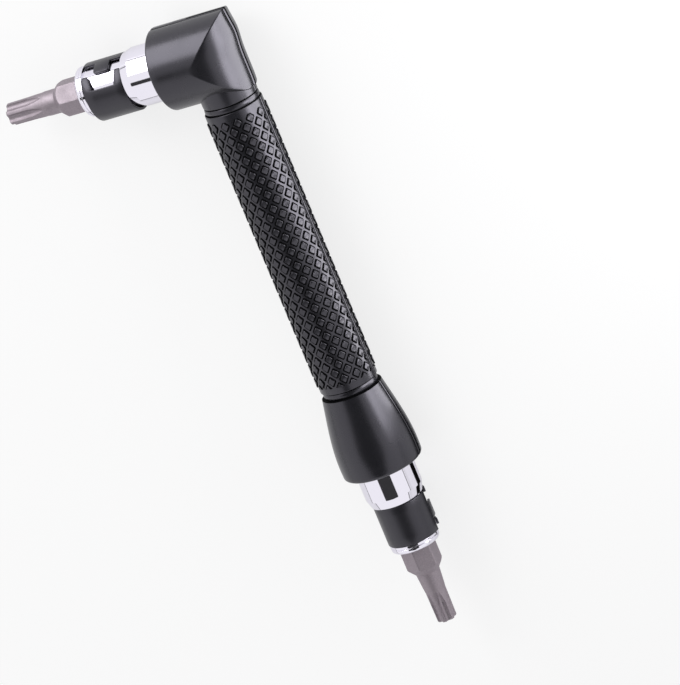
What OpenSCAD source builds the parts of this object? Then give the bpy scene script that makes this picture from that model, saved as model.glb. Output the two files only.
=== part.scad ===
// Offset screwdriver: an elbow-headed handle in two half shells over a steel rod,
// with a chrome bit holder in the head, another in the tail, and an insert bit in each.
// Lengths in millimetres. The tool lies flat: X runs from the tail to the head,
// the head points along Y, and Z is up.

/* [Head] */
// Diameter of the elbow head
head_d = 16.2; // [12:0.1:22]
// From the middle of the elbow to the front face of the head
head_reach = 7.7; // [5:0.1:12]
// Rounding of the front edge of the head
head_edge_r = 0.4; // [0.1:0.05:1]

/* [Handle] */
// How far the axis of the handle lies behind the middle of the elbow
set_back = 2.35; // [0:0.05:4]
// From the axis of the head to the end of the handle
handle_len = 86.9; // [60:0.1:120]
// Diameter of the neck under the head
neck_d = 11.5; // [9:0.1:15]
// Diameter of the grip over its raised pads
grip_d = 12; // [9:0.1:15]
// Diameter of the smooth ends of the grip
relief_d = 11.5; // [8:0.1:14]
// From the side of the head to the upper hoop
hoop_gap = 1.55; // [0.5:0.05:6]
// Smooth length between each hoop and the pads
relief_len = 2; // [0.5:0.1:5]

/* [Hoops] */
// Width of each hoop
hoop_w = 1.35; // [0.4:0.05:2]
// Outer diameter of each hoop
hoop_d = 11; // [9:0.1:16]
// Depth of the groove that each hoop sits in
hoop_depth = 0.6; // [0.2:0.05:1]
// Rounding of the outside of each hoop
hoop_crown_r = 1.2; // [0.8:0.05:3]

/* [Collar] */
// Length of the collar from the lower hoop to the end of the handle
collar_len = 17.3; // [10:0.1:30]
// Diameter of the collar where it leaves the lower hoop
collar_start_d = 11.8; // [9:0.1:15]
// Diameter of the collar at its widest
collar_d = 16; // [12:0.1:22]
// From the widest place of the collar to its end
belly_len = 3.6; // [1:0.1:8]
// Rounding of the end of the collar
collar_edge_r = 0.7; // [0.1:0.05:1.5]

/* [Holders] */
// Diameter of the stem that stands out of the handle
stem_d = 11.5; // [9:0.1:15]
// Length of the stem
stem_len = 7; // [3:0.1:12]
// Length of the chamfer at the front of the stem
stem_chamfer_len = 1.8; // [0.3:0.1:4]
// Diameter at the front of that chamfer
stem_front_d = 10.4; // [9:0.1:14]
// Diameter of the ring at the mouth of the socket
front_ring_d = 9.8; // [8:0.1:13]
// Length of the ring at the mouth of the socket
front_ring_len = 1.65; // [1:0.05:4]
// Rounding of the front of that ring
front_ring_r = 0.6; // [0.1:0.05:1]
// Diameter of the part of the holder inside the handle
shank_d = 8.8; // [7:0.1:11]
// Length of the part of the tail holder inside the handle
shank_len = 13.6; // [8:0.1:20]
// Wall of the head holder behind the hole for the rod
rod_wall = 1; // [0.5:0.1:3]
// Diameter of the flange that keeps the holder in the handle
flange_d = 10.8; // [8:0.1:13]
// Width of that flange
flange_w = 2; // [1:0.1:4]
// From the face of the handle to that flange
flange_at = 3; // [1:0.1:6]

/* [Socket and bits] */
// Across the flats of the insert bits
hex_af = 6.35; // [5:0.05:8]
// Play across the flats in the socket
socket_play = 0.15; // [0.05:0.01:0.4]
// Depth of the socket down to the magnet
socket_depth = 8.6; // [6:0.1:14]
// Widening at the mouth of the socket
mouth_bevel = 0.35; // [0.1:0.05:1]
// Length of each insert bit
bit_len = 25; // [20:0.5:50]
// Length of the hexagon of a bit along its corners
hex_len = 12.9; // [8:0.1:18]
// Length of the cone between the hexagon and the shaft
hex_cone_len = 1.6; // [0.5:0.1:4]
// Chamfer at the back of the hexagon
hex_chamfer = 0.4; // [0.1:0.05:1]
// Diameter of the shaft behind the star
shaft_d = 4.8; // [3:0.1:6]
// Size across the lobes of the star on the head bit
head_star_d = 4.43; // [2:0.01:6]
// Size across the lobes of the star on the tail bit
tail_star_d = 3.86; // [2:0.01:6]
// Diameter between opposite flutes as a share of the size across the lobes
star_core_share = 0.72; // [0.6:0.01:0.85]
// Radius of a flute as a share of the size across the lobes
flute_share = 0.19; // [0.1:0.01:0.3]
// Length of the star on the head bit
head_star_len = 7.6; // [3:0.1:10]
// Length of the star on the tail bit
tail_star_len = 6.4; // [3:0.1:10]
// Even part of the flutes as a share of the length of the star
flute_even_share = 0.6; // [0.3:0.05:0.9]
// Widening of a star from its tip to its root
star_draft = 0.18; // [0:0.01:0.5]
// Step in diameter from the shaft down to the root of the star
shaft_step = 0.15; // [0:0.01:1]
// Length of the shoulder between the shaft and the star
shoulder_len = 0.5; // [0.1:0.05:2]
// Turn of the star on the head bit against its hexagon
head_star_turn = 23; // [0:1:60]
// Bevel at the tip of a bit
tip_bevel = 0.2; // [0.05:0.05:0.5]

/* [Magnets and clips] */
// Diameter of each magnet
magnet_d = 5; // [3:0.1:6]
// Thickness of each magnet
magnet_t = 3; // [1:0.1:5]
// Width of the spring clip
clip_w = 0.7; // [0.3:0.05:1.5]
// Thickness of the spring clip
clip_t = 0.4; // [0.2:0.05:0.8]
// Opening of the spring clip
clip_gap = 2.4; // [1:0.1:4]
// From the mouth of the socket to the clip
clip_at = 0.55; // [0.3:0.05:3]
// Play of a clip beside the bit and in its groove
clip_play = 0.05; // [0.02:0.01:0.2]

/* [Bands] */
// Length of each band along the holder
band_len = 8.2; // [4:0.1:12]
// Outer diameter of a band at rest
band_d = 10.6; // [8:0.1:14]
// Thickness of each band
band_t = 0.45; // [0.2:0.05:1]
// Play at each end of a band in its groove
band_play = 0.1; // [0.02:0.01:0.3]
// How much wider the head band sits, sprung open
head_band_spread = 0.8; // [0:0.05:1.5]
// How far the head band leans away from its opening
head_band_lean = 0.8; // [0:0.05:1]
// How far the tail band leans towards its opening
tail_band_lean = 0.3; // [0:0.05:1]
// Half the opening of a band between the root of the fork and the root of the tongue
band_gap_half = 2.8; // [1:0.1:4]
// Width of the tongue
tongue_w = 3.2; // [1:0.1:6]
// From the middle of the opening to the end of the tongue
tongue_stop = 0.3; // [0:0.05:1]
// Width of the notch of the fork at its mouth
notch_mouth_w = 5.8; // [3:0.1:8]
// Width of the notch of the fork at its floor
notch_floor_w = 4.6; // [3:0.1:8]
// Turn of the head band around its holder
head_band_turn = -42; // [-180:1:180]
// Turn of the tail band around its holder
tail_band_turn = -120; // [-180:1:180]

/* [Rod, pins and pegs] */
// Diameter of the core rod
rod_d = 5; // [3:0.1:7]
// How far the rod reaches past the axis of the head
rod_past = 3.8; // [2:0.1:6]
// How deep the rod sits in the tail holder
rod_seat = 7; // [4:0.1:12]
// Play around the rod
rod_play = 0.05; // [0.02:0.01:0.2]
// Diameter of the cross pins
pin_d = 2; // [1:0.1:3]
// Length of the cross pins
pin_len = 8; // [5:0.1:10]
// From the back of the tail holder to its cross pin
tail_pin_at = 3.5; // [2:0.1:6]
// Diameter of the pegs that locate the half shells
peg_d = 1.6; // [1:0.1:2.5]
// Length of those pegs
peg_len = 2.2; // [1:0.1:4]
// How far those pegs stand beside the axis of the handle
peg_off = 4.1; // [3:0.1:5]
// From each hoop to the nearest peg
peg_inset = 8; // [3:0.5:20]
// Play around the pegs
peg_play = 0.05; // [0.02:0.01:0.2]
// Play between the half shells and the holders
shell_play = 0.03; // [0.01:0.01:0.2]

/* [Hidden] */
// Smoothness of the round surfaces
$fn = 96;
// Overrun of the cuts
over = 1;
// Number of corners of the bits
hex_sides = 6;
// Length of the cone in front of the hexagon, with the part inside the shaft, as a share of the part in sight
cone_share = 1.4;
// Half a corner step of the hexagon
hex_turn = 180 / hex_sides;
// Number of pegs
peg_count = 3;
// Radius of the head
head_r = head_d / 2;
// Radius of the grip
grip_r = grip_d / 2;
// From the axis of the head to the upper hoop
hoop_at = head_r + hoop_gap;
// From the axis of the head to the lower hoop
lower_hoop_at = handle_len - collar_len;
// From the axis of the head to the first peg
peg_first = hoop_at + peg_inset;
// Distance from one peg to the next
peg_step = (lower_hoop_at - hoop_at - 2 * peg_inset) / (peg_count - 1);
// Length of the head holder inside the handle, past the hole for the rod
head_shank_len = head_reach + set_back + rod_d / 2 + rod_play + rod_wall;
// Length of the groove of a holder
groove_len = band_len + 2 * band_play;
// Outer diameter of the head band
head_band_d = band_d + head_band_spread;
// Radius of the groove of a holder, clear of both bands
groove_r = min(head_band_d / 2 - head_band_lean, band_d / 2 - tail_band_lean) - band_t - band_play;
// Length of a holder outside the handle
holder_len = stem_len + groove_len + front_ring_len;
// How far a bit stands out of its holder
bit_out = bit_len - socket_depth;
// Reach of the tool from the elbow to the tip of the head bit
head_tip = head_reach + holder_len + bit_out;
// Reach of the tool from the elbow to the tip of the tail bit
tail_tip = handle_len + holder_len + bit_out;
// Radius of the collar at its widest
collar_r = collar_d / 2;
// From the lower hoop to the widest place of the collar
bell_run = collar_len - belly_len;
// Rise of the collar over that run
bell_rise = collar_r - collar_start_d / 2;
// Radius of the curve of the collar
bell_r = (bell_run * bell_run + bell_rise * bell_rise) / (2 * bell_rise);
// Radius of the hexagon of a bit at its corners
hex_r = hex_af / 2 / cos(hex_turn);
// Radius of the socket at its corners
socket_r = (hex_af + socket_play) / 2 / cos(hex_turn);
// Inner radius of a clip
clip_in_r = hex_r + clip_play;
// Outer radius of a clip
clip_out_r = clip_in_r + clip_t;
// Middle of the tool along X
mid_x = (head_r - tail_tip) / 2;
// Middle of the tool along Y
mid_y = (head_tip - set_back - collar_r) / 2;

// Moves a shape drawn around the elbow to its place in the finished frame
module placed() {
    translate([-mid_x, -mid_y, head_r])
        children();
}

// Turns a shape drawn along its own axis to point out of the head
module on_head() {
    placed()
        translate([0, head_reach, 0])
            rotate([-90, 0, 0])
                children();
}

// Turns a shape drawn along its own axis to point out of the tail
module on_tail() {
    placed()
        translate([-handle_len, -set_back, 0])
            rotate([0, -90, 0])
                children();
}

// Lays a shape drawn along its own axis down the handle, starting at the axis of the head
module down_handle() {
    translate([0, -set_back, 0])
        rotate([0, -90, 0])
            children();
}

// The head: a barrel towards the front, and two crossing barrels behind
module head_form() {
    rotate([-90, 0, 0])
        rotate_extrude()
            difference() {
                square([head_r, head_reach]);
                translate([head_r - head_edge_r, head_reach - head_edge_r])
                    difference() {
                        square([head_edge_r + over, head_edge_r + over]);
                        circle(r = head_edge_r);
                    }
            }
    intersection() {
        rotate([90, 0, 0])
            cylinder(r = head_r, h = head_r + over);
        translate([-head_r - over, 0, 0])
            rotate([0, 90, 0])
                cylinder(r = head_r, h = head_d + 2 * over);
    }
}

// The neck, the grip with its smooth ends, and the seats of the hoops
module grip_form() {
    cylinder(d = neck_d, h = hoop_at);
    cylinder(d = relief_d, h = lower_hoop_at);
    translate([0, 0, hoop_at + relief_len])
        cylinder(d = grip_d, h = lower_hoop_at - hoop_at - 2 * relief_len);
}

// The bell collar at the tail end of the handle
module collar_form() {
    translate([0, 0, lower_hoop_at])
        rotate_extrude()
            difference() {
                intersection() {
                    square([collar_r, collar_len]);
                    translate([collar_r - bell_r, bell_run])
                        circle(r = bell_r, $fn = 6 * $fn);
                }
                translate([collar_r - collar_edge_r, collar_len - collar_edge_r])
                    difference() {
                        square([collar_edge_r + over, collar_edge_r + over]);
                        circle(r = collar_edge_r);
                    }
            }
}

// The groove that a hoop sits in
module hoop_seat(at) {
    translate([0, 0, at - hoop_w / 2])
        difference() {
            cylinder(r = grip_r + over, h = hoop_w);
            translate([0, 0, -over])
                cylinder(d = hoop_d - 2 * hoop_depth, h = hoop_w + 2 * over);
        }
}

// One hoop, rounded on the outside
module hoop_ring(at) {
    translate([0, 0, at])
        rotate_extrude()
            intersection() {
                translate([hoop_d / 2 - hoop_depth, -hoop_w / 2])
                    square([hoop_depth, hoop_w]);
                translate([hoop_d / 2 - hoop_crown_r, 0])
                    circle(r = hoop_crown_r);
            }
}

// The part of a holder that the handle grips
module shank_form(len, play) {
    translate([0, 0, -len - play])
        cylinder(r = shank_d / 2 + play, h = len + play + over);
    translate([0, 0, -flange_at - flange_w - play])
        cylinder(r = flange_d / 2 + play, h = flange_w + 2 * play);
}

// The whole body of the handle before it is split
module handle_form() {
    difference() {
        union() {
            head_form();
            down_handle() {
                difference() {
                    grip_form();
                    hoop_seat(hoop_at);
                }
                collar_form();
            }
        }
        down_handle()
            hoop_seat(lower_hoop_at);
        translate([0, head_reach, 0])
            rotate([-90, 0, 0])
                shank_form(head_shank_len, shell_play);
        translate([-handle_len, -set_back, 0])
            rotate([0, -90, 0])
                shank_form(shank_len, shell_play);
        down_handle()
            translate([0, 0, -rod_past - rod_play])
                cylinder(r = rod_d / 2 + rod_play, h = handle_len - shank_len + rod_past + over);
    }
}

// The pegs that locate one half shell on the other
module pegs(play) {
    for (i = [0:peg_count - 1])
        translate([-peg_first - i * peg_step, -set_back + (i % 2 == 0 ? peg_off : -peg_off), -over])
            cylinder(d = peg_d + 2 * play, h = peg_len + play + over);
}

// A block that covers one side of the plane where the half shells meet
module half_space() {
    translate([-tail_tip - over, -head_d, 0])
        cube([tail_tip + head_d + 2 * over, 2 * head_d + over, head_d]);
}

// The front half of the handle
module front_shell() {
    color("#1c1c1f")
        placed()
            difference() {
                intersection() {
                    handle_form();
                    half_space();
                }
                pegs(peg_play);
            }
}

// The back half of the handle, with the pegs
module back_shell() {
    color("#1a1a1d")
        placed() {
            difference() {
                handle_form();
                half_space();
            }
            pegs(0);
        }
}

// The hoop at the head end of the grip
module upper_hoop() {
    color("#222225")
        placed()
            down_handle()
                hoop_ring(hoop_at);
}

// The hoop at the tail end of the grip
module lower_hoop() {
    color("#222225")
        placed()
            down_handle()
                hoop_ring(lower_hoop_at);
}

// The outside of a holder
module holder_form(len) {
    shank_form(len, 0);
    cylinder(d = stem_d, h = stem_len - stem_chamfer_len);
    translate([0, 0, stem_len - stem_chamfer_len])
        cylinder(d1 = stem_d, d2 = stem_front_d, h = stem_chamfer_len);
    cylinder(r = groove_r, h = holder_len - front_ring_len);
    translate([0, 0, holder_len - front_ring_len])
        rotate_extrude()
            difference() {
                square([front_ring_d / 2, front_ring_len]);
                translate([front_ring_d / 2 - front_ring_r, front_ring_len - front_ring_r])
                    difference() {
                        square([front_ring_r + over, front_ring_r + over]);
                        circle(r = front_ring_r);
                    }
            }
}

// The socket of a holder, with the pocket of the magnet and the groove of the clip
module socket_form(turn) {
    translate([0, 0, holder_len - socket_depth])
        rotate([0, 0, turn])
            cylinder(r = socket_r, h = socket_depth + over, $fn = hex_sides);
    translate([0, 0, holder_len - socket_depth - magnet_t])
        cylinder(d = magnet_d, h = magnet_t + over);
    translate([0, 0, holder_len - mouth_bevel])
        cylinder(r1 = socket_r - mouth_bevel, r2 = socket_r + over, h = mouth_bevel + over);
    translate([0, 0, holder_len - clip_at - clip_w - clip_play])
        cylinder(r = clip_out_r + clip_play, h = clip_w + 2 * clip_play);
}

// The chrome holder in the head, drilled across for the rod
module head_holder() {
    color("#d9dadc")
        on_head()
            difference() {
                holder_form(head_shank_len);
                socket_form(hex_turn);
                translate([-stem_d, 0, -head_reach - set_back])
                    rotate([0, 90, 0])
                        cylinder(r = rod_d / 2 + rod_play, h = 2 * stem_d);
                translate([0, 0, -head_reach - set_back])
                    rotate([90, 0, 0])
                        cylinder(d = pin_d, h = pin_len, center = true);
            }
}

// The chrome holder in the tail, bored along its axis for the rod
module tail_holder() {
    color("#d9dadc")
        on_tail()
            difference() {
                holder_form(shank_len);
                socket_form(0);
                translate([0, 0, -shank_len - over])
                    cylinder(r = rod_d / 2 + rod_play, h = rod_seat + over);
                translate([0, 0, -shank_len + tail_pin_at])
                    rotate([0, 90, 0])
                        cylinder(d = pin_d, h = pin_len, center = true);
            }
}

// The steel rod from one holder to the other
module core_rod() {
    color("#9a9ca0")
        placed()
            difference() {
                down_handle()
                    translate([0, 0, -rod_past])
                        cylinder(d = rod_d, h = handle_len - shank_len + rod_seat + rod_past);
                translate([0, -set_back, 0])
                    cylinder(d = pin_d, h = pin_len, center = true);
                translate([-handle_len + shank_len - tail_pin_at, -set_back, 0])
                    cylinder(d = pin_d, h = pin_len, center = true);
            }
}

// The pin through the head holder and the rod
module head_pin() {
    color("#8c8e92")
        placed()
            translate([0, -set_back, 0])
                cylinder(d = pin_d, h = pin_len, center = true);
}

// The pin through the tail holder and the rod
module tail_pin() {
    color("#8c8e92")
        placed()
            translate([-handle_len + shank_len - tail_pin_at, -set_back, 0])
                cylinder(d = pin_d, h = pin_len, center = true);
}

// One magnet at the bottom of a socket
module magnet_form() {
    translate([0, 0, holder_len - socket_depth - magnet_t])
        cylinder(d = magnet_d, h = magnet_t);
}

// The magnet of the head holder
module head_magnet() {
    color("#6f7176")
        on_head()
            magnet_form();
}

// The magnet of the tail holder
module tail_magnet() {
    color("#6f7176")
        on_tail()
            magnet_form();
}

// One spring clip, open at one side
module clip_form() {
    translate([0, 0, holder_len - clip_at - clip_w])
        difference() {
            cylinder(r = clip_out_r, h = clip_w);
            translate([0, 0, -over])
                cylinder(r = clip_in_r, h = clip_w + 2 * over);
            translate([0, -clip_gap / 2, -over])
                cube([clip_out_r + over, clip_gap, clip_w + 2 * over]);
        }
}

// The clip of the head holder
module head_clip() {
    color("#7d7f84")
        on_head()
            clip_form();
}

// The clip of the tail holder
module tail_clip() {
    color("#7d7f84")
        on_tail()
            clip_form();
}

// The opening of a band, seen from outside: a tongue on one side and a fork on the other
module band_opening() {
    half = band_len / 2;
    polygon([
        [band_gap_half, -half - over],
        [band_gap_half, -tongue_w / 2],
        [tongue_stop, -tongue_w / 2],
        [tongue_stop, tongue_w / 2],
        [band_gap_half, tongue_w / 2],
        [band_gap_half, half + over],
        [0, half + over],
        [0, notch_mouth_w / 2],
        [-band_gap_half, notch_floor_w / 2],
        [-band_gap_half, -notch_floor_w / 2],
        [0, -notch_mouth_w / 2],
        [0, -half - over]
    ]);
}

// One band, with the middle of its opening along X, and shifted along X
module band_form(d, shift) {
    translate([shift, 0, stem_len + band_play + band_len / 2])
        difference() {
            cylinder(d = d, h = band_len, center = true);
            cylinder(r = d / 2 - band_t, h = band_len + 2 * over, center = true);
            rotate([90, 0, 90])
                linear_extrude(height = d)
                    band_opening();
        }
}

// The band of the head holder
module head_band() {
    color("#202023")
        on_head()
            rotate([0, 0, head_band_turn])
                band_form(head_band_d, -head_band_lean);
}

// The band of the tail holder
module tail_band() {
    color("#202023")
        on_tail()
            rotate([0, 0, tail_band_turn])
                band_form(band_d, tail_band_lean);
}

// The cutter for one flute: even at the tip, then running out to a point
module flute_form(star_d, star_len) {
    flute_r = star_d * flute_share;
    even = star_len * flute_even_share;
    translate([star_d * star_core_share / 2 + flute_r, 0, -even]) {
        cylinder(r = flute_r, h = even + over);
        translate([0, 0, even - star_len])
            cylinder(r1 = 0, r2 = flute_r, h = star_len - even);
    }
}

// The turned outline of a bit in front of its hexagon
module shaft_outline(star_d, star_len) {
    root = bit_len - star_len;
    polygon([
        [0, hex_len - hex_cone_len],
        [shaft_d / 2, hex_len - hex_cone_len],
        [shaft_d / 2, hex_len + hex_cone_len],
        [(star_d + star_draft + shaft_step) / 2, root - shoulder_len],
        [(star_d + star_draft) / 2, root],
        [star_d / 2, bit_len - tip_bevel],
        [star_d / 2 - tip_bevel, bit_len],
        [0, bit_len]
    ]);
}

// The turned outline that bevels both ends of the hexagon
module hex_outline() {
    polygon([
        [0, 0],
        [hex_r - hex_chamfer, 0],
        [hex_r, hex_chamfer],
        [hex_r, hex_len],
        [hex_r - cone_share * (hex_r - shaft_d / 2), hex_len + cone_share * hex_cone_len],
        [0, hex_len + cone_share * hex_cone_len]
    ]);
}

// One insert bit, from its back face to its tip
module bit_form(turn, star_d, star_len, star_turn) {
    difference() {
        union() {
            intersection() {
                rotate([0, 0, turn])
                    cylinder(r = hex_r, h = bit_len - star_len, $fn = hex_sides);
                rotate_extrude()
                    hex_outline();
            }
            rotate_extrude()
                shaft_outline(star_d, star_len);
        }
        translate([0, 0, bit_len])
            for (i = [0:hex_sides - 1])
                rotate([0, 0, turn + star_turn + hex_turn + i * 2 * hex_turn])
                    flute_form(star_d, star_len);
    }
}

// The insert bit of the head
module head_bit() {
    color("#8d8680")
        on_head()
            translate([0, 0, holder_len - socket_depth])
                bit_form(hex_turn, head_star_d, head_star_len, head_star_turn);
}

// The insert bit of the tail
module tail_bit() {
    color("#8d8680")
        on_tail()
            translate([0, 0, holder_len - socket_depth])
                bit_form(0, tail_star_d, tail_star_len, 0);
}

front_shell();
back_shell();
upper_hoop();
lower_hoop();
head_holder();
tail_holder();
head_band();
tail_band();
head_bit();
tail_bit();
core_rod();
head_pin();
tail_pin();
head_magnet();
tail_magnet();
head_clip();
tail_clip();
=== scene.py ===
"""Dresses the offset screwdriver: half shells with a padded grip, hoops, chrome holders, bands and star
bits."""

import math

import bmesh
import bpy
import numpy as np
from bpy.props import FloatProperty, FloatVectorProperty, IntProperty, PointerProperty, StringProperty
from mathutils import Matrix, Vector


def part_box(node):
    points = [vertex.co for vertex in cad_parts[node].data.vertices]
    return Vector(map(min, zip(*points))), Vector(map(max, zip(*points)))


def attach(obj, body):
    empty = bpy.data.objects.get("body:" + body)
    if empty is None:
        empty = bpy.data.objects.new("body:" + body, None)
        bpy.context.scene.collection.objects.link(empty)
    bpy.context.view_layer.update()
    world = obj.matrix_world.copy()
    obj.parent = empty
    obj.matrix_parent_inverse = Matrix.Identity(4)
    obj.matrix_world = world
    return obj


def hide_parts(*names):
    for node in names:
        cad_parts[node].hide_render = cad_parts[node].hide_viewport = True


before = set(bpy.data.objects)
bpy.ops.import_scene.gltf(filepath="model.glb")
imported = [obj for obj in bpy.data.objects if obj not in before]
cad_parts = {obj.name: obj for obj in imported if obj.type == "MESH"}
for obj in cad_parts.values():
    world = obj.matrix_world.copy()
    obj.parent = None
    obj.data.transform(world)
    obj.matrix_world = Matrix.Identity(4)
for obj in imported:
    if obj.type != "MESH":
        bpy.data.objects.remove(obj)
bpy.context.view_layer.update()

bl_info = {
    "name": "Offset screwdriver",
    "version": (1, 0, 0),
    "blender": (4, 5, 0),
    "location": "3D View > Sidebar > Screwdriver",
    "description": "Builds the visible pieces of an offset screwdriver around its solids",
    "category": "Object",
}

MM = 0.001
# Places in the frame, from the boxes of the solids: the face of the head, the end of the handle, and the axes
# of the two bits, which lie at one height
HEAD_FACE_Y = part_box("front_shell")[1].y
HEAD_X = (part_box("head_bit")[0].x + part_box("head_bit")[1].x) / 2
TAIL_Y = (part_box("tail_bit")[0].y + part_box("tail_bit")[1].y) / 2
MID_Z = (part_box("head_bit")[0].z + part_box("head_bit")[1].z) / 2
TAIL_FACE_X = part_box("front_shell")[0].x


def size(name, default_mm, description):
    """One length of the tool as a property, from its value in millimetres."""
    return FloatProperty(name=name, default=default_mm * MM, min=0, unit="LENGTH", precision=5,
                         description=description)


def factor(name, default, description):
    """One share of a length as a property."""
    return FloatProperty(name=name, default=default, min=0, max=1, subtype="FACTOR", description=description)


def angle(name, degrees, description):
    """One angle as a property, from its value in degrees."""
    return FloatProperty(name=name, default=math.radians(degrees), subtype="ANGLE", description=description)


class HandleSizes(bpy.types.PropertyGroup):
    """Sizes of the two half shells and the hoops."""

    head_d: size("Head", 16.2, "Diameter of the elbow head")
    head_reach: size("Head reach", 7.7, "From the middle of the elbow to the face of the head")
    head_edge: size("Head edge", 0.4, "Rounding of the edge around the face of the head")
    upper_groin: size("Upper ridge", 0.22, "Rounding of the ridge on the far side from the handle")
    lower_groin: size("Lower ridge", 0.2, "Rounding of the ridge on the side of the handle")
    rear_bow: size("Rear bow", 0.38, "How far the rear of the head bows out")
    neck_d: size("Neck", 11.5, "Diameter of the neck under the head")
    neck_end_d: size("Neck end", 10.9, "Diameter of the neck at the upper hoop")
    grip_d: size("Grip", 12, "Diameter of the grip over its pads")
    valley_d: size("Valleys", 11.5, "Diameter of the grip between its pads")
    hoop_gap: size("Hoop gap", 1.55, "From the side of the head to the middle of the upper hoop")
    hoop_w: size("Hoop groove", 1.35, "Width of the groove of each hoop")
    hoop_fill: factor("Hoop fill", 0.76, "Width of a hoop as a share of its groove")
    hoop_shift: size("Hoop shift", 0.06, "How far each hoop sits towards the tail in its groove")
    hoop_d: size("Hoop", 11, "Outer diameter of each hoop")
    hoop_depth: size("Hoop depth", 0.6, "Depth of the groove of each hoop")
    hoop_crown: size("Hoop crown", 1.2, "Rounding of the outside of each hoop")
    groove_bevel: size("Groove bevel", 0.12, "Rounding of the edges of the grooves of the hoops")
    relief: size("Smooth ends", 2, "Smooth length between each hoop and the pads")
    collar_len: size("Collar", 17.3, "Length of the collar")
    collar_start_d: size("Collar start", 11.8, "Diameter of the collar at the lower hoop")
    collar_d: size("Collar width", 16, "Diameter of the collar at its widest")
    bell_len: size("Bell", 14.6, "From the lower hoop to the widest place of the collar")
    collar_edge: size("Collar edge", 0.7, "Rounding of the end of the collar")
    shank_d: size("Bore", 8.86, "Diameter of the bores for the holders")
    shank_len: size("Bore depth", 13.63, "Depth of the bore for the tail holder")
    rod_d: size("Rod bore", 5.1, "Diameter of the bore for the rod")
    part_w: size("Seam", 0.9, "Width of the step beside the parting line")
    part_depth: size("Seam depth", 0.42, "How far the front shell steps back there")
    pad_pitch: size("Pad pitch", 2.985, "Distance from one pad to the next along the grip")
    pad_first: size("First pads", 12.51, "From the axis of the head to the first pads")
    pad_columns: IntProperty(name="Pads around", default=14, min=3,
                             description="Columns of pads on each shell")
    pad_share: factor("Pad share", 0.55, "Size of the top of a pad as a share of its cell")
    pad_margin: angle("Pad margin", 10, "Smooth strip beside the parting line")


class HolderSizes(bpy.types.PropertyGroup):
    """Sizes of the chrome bit holders."""

    stem_d: size("Stem", 11.5, "Diameter of the stem that stands out of the handle")
    stem_len: size("Stem length", 7, "Length of the stem")
    chamfer: size("Chamfer", 1.8, "Length of the chamfer at the front of the stem")
    chamfer_round: size("Chamfer rounding", 0.25, "Rounding of the start of the chamfer")
    stem_front_d: size("Chamfer front", 10.4, "Diameter at the front of the chamfer")
    groove_d: size("Groove", 8.7, "Diameter at the bottom of the groove of the band")
    groove_len: size("Groove length", 8.4, "Length of the groove of the band")
    groove_round: size("Groove rounding", 0.1, "Rounding of the bottom of that groove")
    ring_d: size("Mouth ring", 9.8, "Diameter of the ring at the mouth")
    ring_len: size("Mouth ring length", 1.65, "Length of the ring at the mouth")
    ring_round: size("Mouth rounding", 0.6, "Rounding of the front of that ring")
    line_at: size("Ring line", 0.62, "From the back of that ring to the line turned into it")
    line_w: size("Ring line width", 0.18, "Width of that line")
    line_depth: size("Ring line depth", 0.12, "Depth of that line")
    line_round: size("Ring line edges", 0.05, "Rounding of the edges of that line")
    line_floor: size("Ring line floor", 0.03, "Rounding of the floor of that line")
    shank_d: size("Shank", 8.8, "Diameter of the part inside the handle")
    shank_len: size("Shank length", 13.6, "Length of the part inside the handle")
    flange_d: size("Flange", 10.8, "Diameter of the flange inside the handle")
    flange_back: size("Flange back", 5, "From the face of the handle to the back of the flange")
    flange_front: size("Flange front", 3, "From the face of the handle to the front of the flange")
    edge: size("Edges", 0.12, "Rounding of the other edges")
    socket_af: size("Socket", 6.5, "Across the flats of the socket")
    socket_depth: size("Socket depth", 8.6, "Depth of the socket")
    bevel_d: size("Mouth bevel", 7.8, "Diameter of the bevel of the mouth")
    bevel_out: size("Mouth bevel outside", 0.12, "How far the bevel reaches outwards from there")
    bevel_in: size("Mouth bevel inside", 0.1, "How far the bevel reaches inwards from there")
    bevel_drop: size("Mouth bevel depth", 0.3, "Depth of the bevel")
    bevel_round: size("Mouth bevel edge", 0.1, "Rounding of the outer edge of the bevel")
    hex_drop: size("Hexagon depth", 0.62, "From the mouth to where the socket is a full hexagon")


class BandSizes(bpy.types.PropertyGroup):
    """Sizes of the snap bands."""

    head_d: size("Head band", 11.4, "Outer diameter of the head band, which sits sprung open")
    tail_d: size("Tail band", 10.6, "Outer diameter of the tail band")
    thickness: size("Thickness", 0.45, "Thickness of a band")
    length: size("Length", 8.2, "Length of a band along its holder")
    play: size("Play", 0.1, "Play at each end of a band in its groove")
    head_lean: size("Head lean", 0.8, "How far the head band leans away from its opening")
    tail_lean: size("Tail lean", 0.3, "How far the tail band leans towards its opening")
    gap_half: size("Half opening", 2.8, "From the middle of the opening to the roots of tongue and fork")
    tongue_w: size("Tongue", 3.2, "Width of the tongue")
    tongue_stop: size("Tongue stop", 0.3, "From the middle of the opening to the end of the tongue")
    notch_mouth_w: size("Notch mouth", 5.8, "Width of the notch of the fork at its mouth")
    notch_floor_w: size("Notch floor", 4.6, "Width of the notch of the fork at its floor")
    corner: size("Tongue corners", 0.45, "Rounding of the corners of the tongue")
    fork_round: size("Fork corners", 0.25, "Rounding of the corners of the fork")
    edge: size("Edge", 0.07, "Rounding of the edges of a band")
    head_turn: angle("Head turn", -42, "Turn of the head band")
    tail_turn: angle("Tail turn", -120, "Turn of the tail band")


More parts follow.
